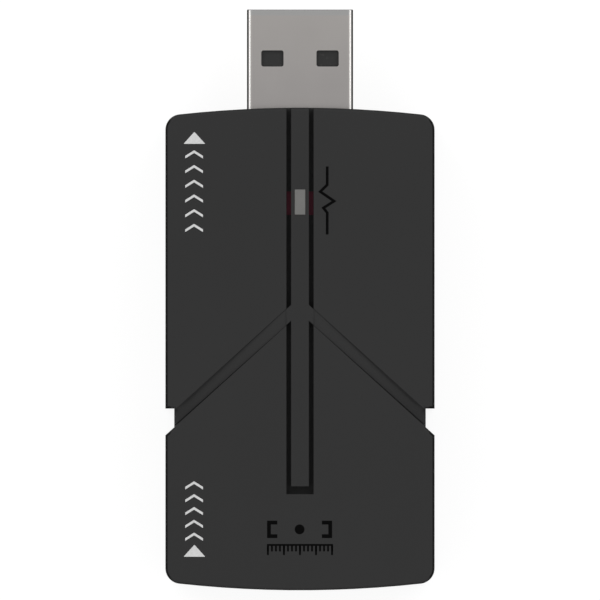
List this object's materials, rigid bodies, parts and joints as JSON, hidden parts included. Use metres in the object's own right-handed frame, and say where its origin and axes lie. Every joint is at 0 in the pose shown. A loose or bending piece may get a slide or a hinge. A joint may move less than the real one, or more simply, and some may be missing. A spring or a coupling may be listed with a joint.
{
  "type": "video capture box",
  "caption": "Stick-shaped capture box with a computer plug at one end, a video socket at the other, a grooved centre rail with a status window, and slanted channels to side notches.",
  "frame": {"origin": "middle of the flat underside of the housing", "axes": "+Y out of the computer plug, +Z out of the grooved top, +X to the right seen from above with the plug pointing away"},
  "size_m": [0.0304, 0.0656, 0.0131],
  "materials": {
    "black_plastic": "fine-textured moulded black plastic",
    "window_plastic": "frosted grey clear plastic",
    "red_plastic": "dark red tinted clear plastic",
    "plated_steel": "nickel-plated formed steel sheet",
    "connector_plastic": "black glass-filled nylon",
    "gold_plate": "thin gold plating on copper alloy",
    "board": "green solder mask over glass laminate",
    "chip_plastic": "black moulding compound",
    "tin_plate": "tinned metal",
    "crystal_ceramic": "unglazed ceramic",
    "crystal_metal": "plated lid",
    "ferrite": "grey-black pressed ferrite",
    "capacitor_ceramic": "tan ceramic",
    "resistor_ceramic": "black glaze on white ceramic",
    "led_white": "white lamp base",
    "led_lens": "clear red epoxy"
  },
  "bodies": {
    "root": {"top_shell": "black_plastic", "bottom_shell": "black_plastic", "status_window": "window_plastic", "status_light_pipe": "red_plastic", "circuit_board": "board", "plug_shell": "plated_steel", "plug_insulator": "connector_plastic", "plug_contacts": "gold_plate", "socket_shell": "plated_steel", "socket_insulator": "connector_plastic", "socket_upper_contacts": "gold_plate", "socket_lower_contacts": "gold_plate", "capture_chip": "chip_plastic", "capture_chip_leads": "tin_plate", "memory_chip": "chip_plastic", "memory_chip_leads": "tin_plate", "voltage_regulator": "chip_plastic", "voltage_regulator_leads": "tin_plate", "crystal_base": "crystal_ceramic", "crystal_lid": "crystal_metal", "inductor_body": "ferrite", "inductor_terminals": "tin_plate", "ceramic_capacitors": "capacitor_ceramic", "capacitor_end_caps": "tin_plate", "chip_resistors": "resistor_ceramic", "resistor_end_caps": "tin_plate", "status_led": "led_white", "status_led_lens": "led_lens", "esd_arrays": "chip_plastic", "plug_choke": "ferrite"}
  },
  "joints": []
}
